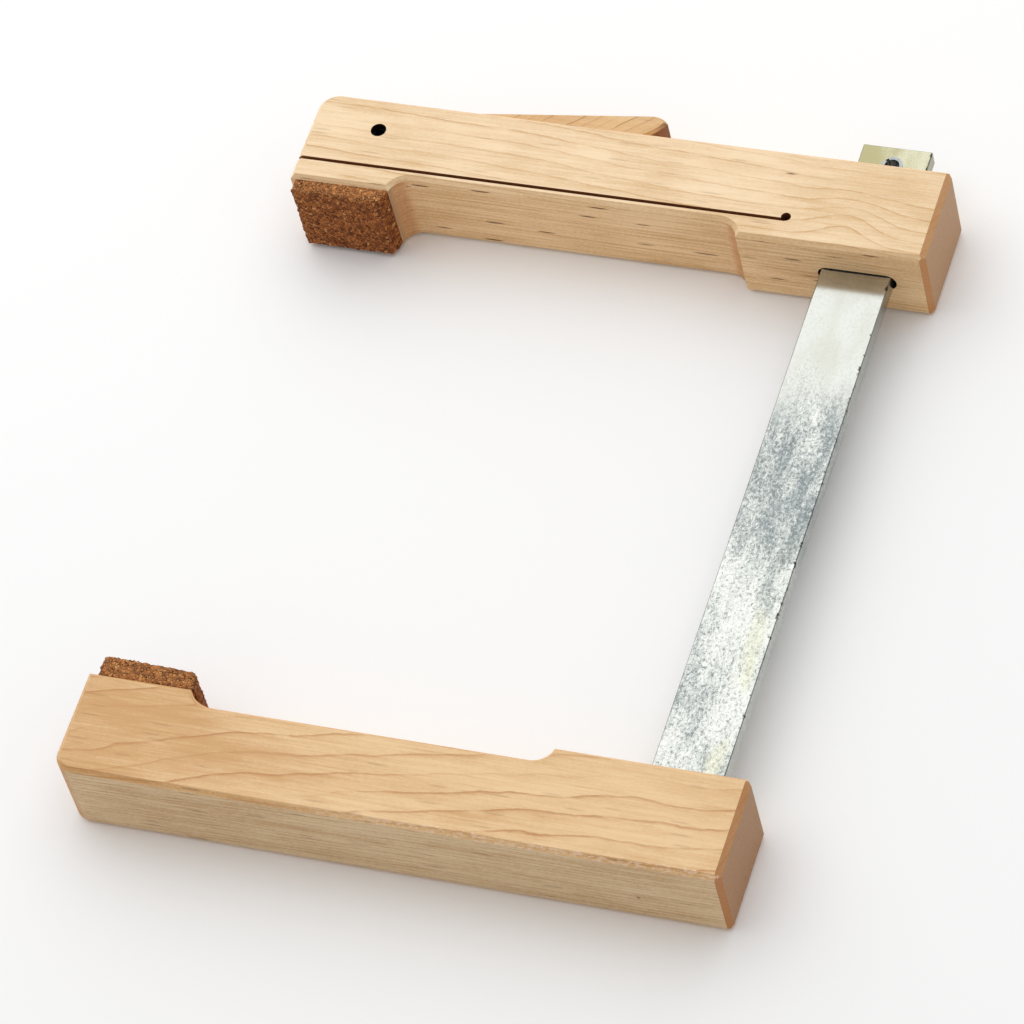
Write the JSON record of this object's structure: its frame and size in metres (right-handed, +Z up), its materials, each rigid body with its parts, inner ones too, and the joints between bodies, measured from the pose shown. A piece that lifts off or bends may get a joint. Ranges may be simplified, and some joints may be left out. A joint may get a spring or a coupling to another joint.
{
  "type": "cam clamp",
  "caption": "Light wooden bar clamp: cork-faced maple jaws on a flat steel bar, the sliding one closed by a cam lever that bends a sprung arm.",
  "frame": {"origin": "bottom centre of the whole clamp's box, with the clamp lying on one broad side and the sliding jaw where the picture shows it", "axes": "+X along the jaws from their tips to the heels that hold the bar, +Y along the bar from the fixed jaw to its free end, +Z up through the jaws' thickness"},
  "size_m": [0.185, 0.246, 0.0255],
  "materials": {
    "maple_pale": "planed, fine straight grain, light oil",
    "maple_warm": "planed, wavy flat-sawn grain, light oil",
    "maple_lever": "planed, diagonal grain, light oil",
    "cork": "granular agglomerated cork, matt",
    "zinc_steel": "zinc plated, mottled, slightly stained",
    "pin_steel": "rolled spring steel, zinc plated",
    "pin_black": "rolled spring steel, blackened"
  },
  "bodies": {
    "frame": {"bar": "zinc_steel", "bar_stop_pin": "pin_steel", "fixed_jaw": "maple_warm", "fixed_jaw_pins": "pin_steel", "fixed_cork_pad": "cork"},
    "slider": {"sliding_jaw": "maple_pale", "cam_pin": "pin_black"},
    "lever": {"cam_lever": "maple_lever"},
    "arm": {"sprung_arm": "maple_pale", "sliding_cork_pad": "cork"}
  },
  "joints": [
    {"name": "jaw_slide", "type": "slide", "parent": "frame", "child": "slider", "axis": [0, 1, 0], "range_m": [-0.157, 0.0036]},
    {"name": "cam_turn", "type": "hinge", "parent": "slider", "child": "lever", "pos_m": [-0.0723, 0.0984, 0.01275], "axis": [0, 0, 1], "range_deg": [0, 100]},
    {"name": "arm_flex", "type": "hinge", "parent": "slider", "child": "arm", "pos_m": [0.0322, 0.0831, 0.01275], "axis": [0, 0, 1], "range_deg": [0, 1.25], "stiffness_Nm_per_rad": 12}
  ],
  "couplings": [
    {"joint": "arm_flex", "follows": "cam_turn", "ratio": 0.0125}
  ]
}
